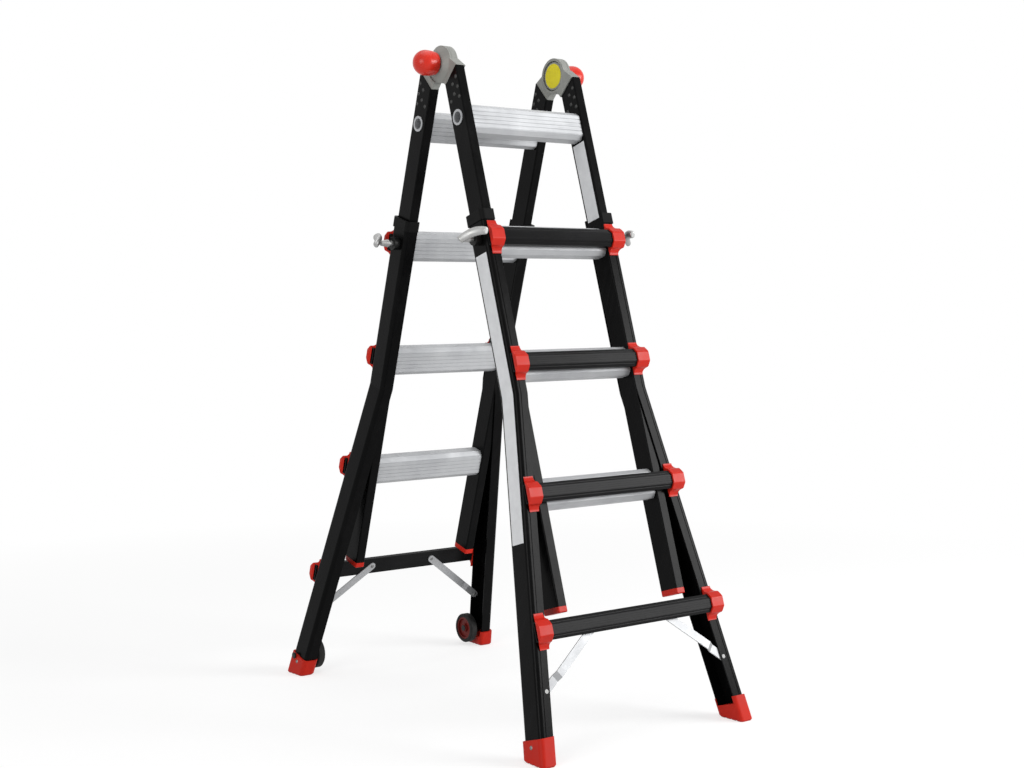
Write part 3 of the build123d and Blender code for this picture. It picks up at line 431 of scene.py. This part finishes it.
def round_edges(piece, width, angle):
    """Joins the faces of a solid, then rounds its sharp edges and shades it smooth."""
    weld = piece.modifiers.new("weld", "WELD")
    weld.merge_threshold = WELD_DISTANCE
    flat = piece.modifiers.new("flat", "DECIMATE")
    flat.decimate_type = "DISSOLVE"
    flat.angle_limit = FLAT_ANGLE
    bevel = piece.modifiers.new("round", "BEVEL")
    bevel.width = width
    bevel.segments = EDGE_SEGMENTS
    bevel.limit_method = "ANGLE"
    bevel.angle_limit = angle
    bevel.use_clamp_overlap = True
    weighted = piece.modifiers.new("weighted", "WEIGHTED_NORMAL")
    weighted.keep_sharp = True


def dress_nodes():
    made = slot_materials()
    for row in frame["record"]["subparts"]:
        name, slot = row["node"], row["material_slot"]
        piece = nodes[name]
        piece.data.materials.clear()
        piece.data.materials.append(made[finish_of(name, slot)])
        width = COLLAR_ROUNDING if name.endswith("rail_collars") else ROUNDING.get(slot)
        angle = SOFT_EDGE_ANGLE if slot == "red_plastic" else EDGE_ANGLE
        if width:
            round_edges(piece, width, angle)


def add_piece(name, mesh, material):
    """Makes an object of a mesh that is finished."""
    data = bpy.data.meshes.new(name)
    mesh.to_mesh(data)
    mesh.free()
    data.materials.append(material)
    piece = bpy.data.objects.new(name, data)
    bpy.context.scene.collection.objects.link(piece)
    return piece


# Blank film where the object carries labels: its place along and across the rails, in metres
FILM_THICKNESS = 0.0003
FILM_LIFT = 0.00005
LEFT_FILM = {"d_range": (0.458, 1.085), "n_range": (0.0185, 0.0575), "steps": 60}
RIGHT_FILM = {"d_range": (0.185, 0.371), "n_range": (0.018, 0.058), "steps": 4}

# Where the rays that find a rail's side start from, as x
OUTSIDE_LEFT = -1.0
INSIDE_RIGHT = -0.01


def film_on_side(name, node, body, material, start_x, d_range, n_range, steps):
    """A strip of film laid on the side of a rail, following the rail's bend."""
    tree = BVHTree.FromObject(nodes[node], bpy.context.evaluated_depsgraph_get())
    outward = Vector((start_x, 0.0, 0.0)).normalized()
    mesh = bmesh.new()
    (d0, d1), (n0, n1) = d_range, n_range
    rows = []
    for i in range(steps + 1):
        d = d0 + (d1 - d0) * i / steps
        row = []
        for n in (n0, n1):
            hit = tree.ray_cast(front_point(start_x, d, n), -outward)[0]
            row.append(mesh.verts.new(hit + outward * FILM_LIFT))
        rows.append(row)
    for upper, lower in zip(rows, rows[1:]):
        mesh.faces.new((upper[0], upper[1], lower[1], lower[0]))
    mesh.normal_update()
    for face in mesh.faces:
        if face.normal.dot(outward) < 0:
            face.normal_flip()
    piece = add_piece(name, mesh, material)
    solid = piece.modifiers.new("thickness", "SOLIDIFY")
    solid.thickness = FILM_THICKNESS
    solid.offset = 1.0
    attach(piece, body)


def add_films():
    white = label_stock("white_film", FILM_WHITE, FILM_WHITE_SHADE)
    film_on_side("left_rail_film", "front_left_outer_rail", "front_outer", white,
                 OUTSIDE_LEFT, **LEFT_FILM)
    film_on_side("right_rail_film", "front_right_inner_rail", "front_inner", white,
                 INSIDE_RIGHT, **RIGHT_FILM)


# Blank yellow discs on the inner faces of the hinge locks
DISC_RADIUS = 0.0285
DISC_THICKNESS = 0.0006
DISC_SIDES = 64


def add_discs():
    yellow = label_stock("yellow_film", FILM_YELLOW, FILM_YELLOW_SHADE)
    turn = Matrix.Rotation(pi / 2, 4, "Y")
    for side, sign in (("left", -1.0), ("right", 1.0)):
        low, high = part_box(f"{side}_hinge_lock_plate")
        face = high.x if sign < 0 else low.x
        mesh = bmesh.new()
        place = Matrix.Translation((face - sign * DISC_THICKNESS / 2, HINGE.y, HINGE.z))
        bmesh.ops.create_cone(mesh, cap_ends=True, segments=DISC_SIDES, radius1=DISC_RADIUS,
                              radius2=DISC_RADIUS, depth=DISC_THICKNESS, matrix=place @ turn)
        piece = add_piece(f"{side}_hinge_disc", mesh, yellow)
        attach(piece, f"{side}_hinge_lock")


# Floor, light and background
FLOOR_RADIUS = 4.0
FLOOR_SIDES = 96
FLOOR_TONE = 0.8
FLOOR_ROUGHNESS = 0.9
FLOOR_SEEN_TONE = 0.4
FLOOR_GLOW = 0.68
FADE = (1.1, 3.0)
WHITE = (1.0, 1.0, 1.0, 1.0)
BACKGROUND_LIGHT = 1.0
SOFT_LIGHT = 0.3

# Lamps aim at one point: place and size in metres, power in watts
LIT_POINT = (0.0, 0.0, 0.8)
KEY_LAMP = {"place": (2.9, -3.25, 1.85), "size": (2.6, 1.8), "power": 165.0}
FILL_LAMP = {"place": (-4.4, -1.6, 1.8), "size": (2.4, 2.4), "power": 80.0}
TOP_LAMP = {"place": (0.0, 0.0, 4.2), "size": (3.0, 3.0), "power": 45.0}


def seen_directly(tree):
    """One for the rays that show the background, nought for the rays that light the object."""
    path = add_node(tree, "ShaderNodeLightPath")
    seen = combine(tree, "MAXIMUM", path.outputs["Is Camera Ray"], path.outputs["Is Glossy Ray"])
    return combine(tree, "MAXIMUM", seen, path.outputs["Is Transmission Ray"])


def mix_shaders(tree, factor, first, second):
    node = add_node(tree, "ShaderNodeMixShader")
    tree.links.new(factor, node.inputs["Fac"])
    tree.links.new(first, node.inputs[1])
    tree.links.new(second, node.inputs[2])
    return node.outputs["Shader"]


def floor_material():
    """A pale floor that shows white with the object's shadow, and fades into the background."""
    material, tree, plain = new_material("floor")
    plain.inputs["Base Color"].default_value = (FLOOR_TONE, FLOOR_TONE, FLOOR_TONE, 1.0)
    plain.inputs["Roughness"].default_value = FLOOR_ROUGHNESS
    plain.inputs["Specular IOR Level"].default_value = 0.0
    shaded = add_node(tree, "ShaderNodeBsdfDiffuse")
    shaded.inputs["Color"].default_value = (FLOOR_SEEN_TONE, FLOOR_SEEN_TONE, FLOOR_SEEN_TONE, 1.0)
    glow = add_node(tree, "ShaderNodeEmission")
    glow.inputs["Strength"].default_value = FLOOR_GLOW
    lit = add_node(tree, "ShaderNodeAddShader")
    tree.links.new(shaded.outputs["BSDF"], lit.inputs[0])
    tree.links.new(glow.outputs["Emission"], lit.inputs[1])
    white = add_node(tree, "ShaderNodeEmission")
    away = add_node(tree, "ShaderNodeVectorMath", operation="LENGTH")
    tree.links.new(object_coords(tree), away.inputs[0])
    fade = spread(tree, away.outputs["Value"], FADE)
    shown = mix_shaders(tree, fade, lit.outputs["Shader"], white.outputs["Emission"])
    surface = mix_shaders(tree, seen_directly(tree), plain.outputs["BSDF"], shown)
    tree.links.new(surface, tree.nodes["Material Output"].inputs["Surface"])
    return material


def add_floor():
    mesh = bmesh.new()
    bmesh.ops.create_circle(mesh, cap_ends=True, segments=FLOOR_SIDES, radius=FLOOR_RADIUS)
    floor = add_piece("floor", mesh, floor_material())


def add_lamp(name, place, size, power):
    data = bpy.data.lights.new(name, "AREA")
    data.shape = "RECTANGLE"
    data.size, data.size_y = size
    data.energy = power
    lamp = bpy.data.objects.new(name, data)
    aim = (Vector(LIT_POINT) - Vector(place)).to_track_quat("-Z", "Y")
    lamp.matrix_world = Matrix.Translation(place) @ aim.to_matrix().to_4x4()
    bpy.context.scene.collection.objects.link(lamp)


def add_background():
    """A white world for the rays that show it, which lights the object only softly."""
    world = bpy.data.worlds.new("world")
    world.use_nodes = True
    bpy.context.scene.world = world
    tree = world.node_tree
    shown = tree.nodes["Background"]
    soft = add_node(tree, "ShaderNodeBackground")
    for background, strength in ((shown, BACKGROUND_LIGHT), (soft, SOFT_LIGHT)):
        background.inputs["Color"].default_value = WHITE
        background.inputs["Strength"].default_value = strength
    surface = mix_shaders(tree, seen_directly(tree), soft.outputs["Background"], shown.outputs["Background"])
    tree.links.new(surface, tree.nodes["World Output"].inputs["Surface"])


add_camera()
dress_nodes()
add_films()
add_discs()
add_floor()
add_lamp("key", **KEY_LAMP)
add_lamp("fill", **FILL_LAMP)
add_lamp("top", **TOP_LAMP)
add_background()
bpy.context.scene.view_settings.view_transform = "Standard"
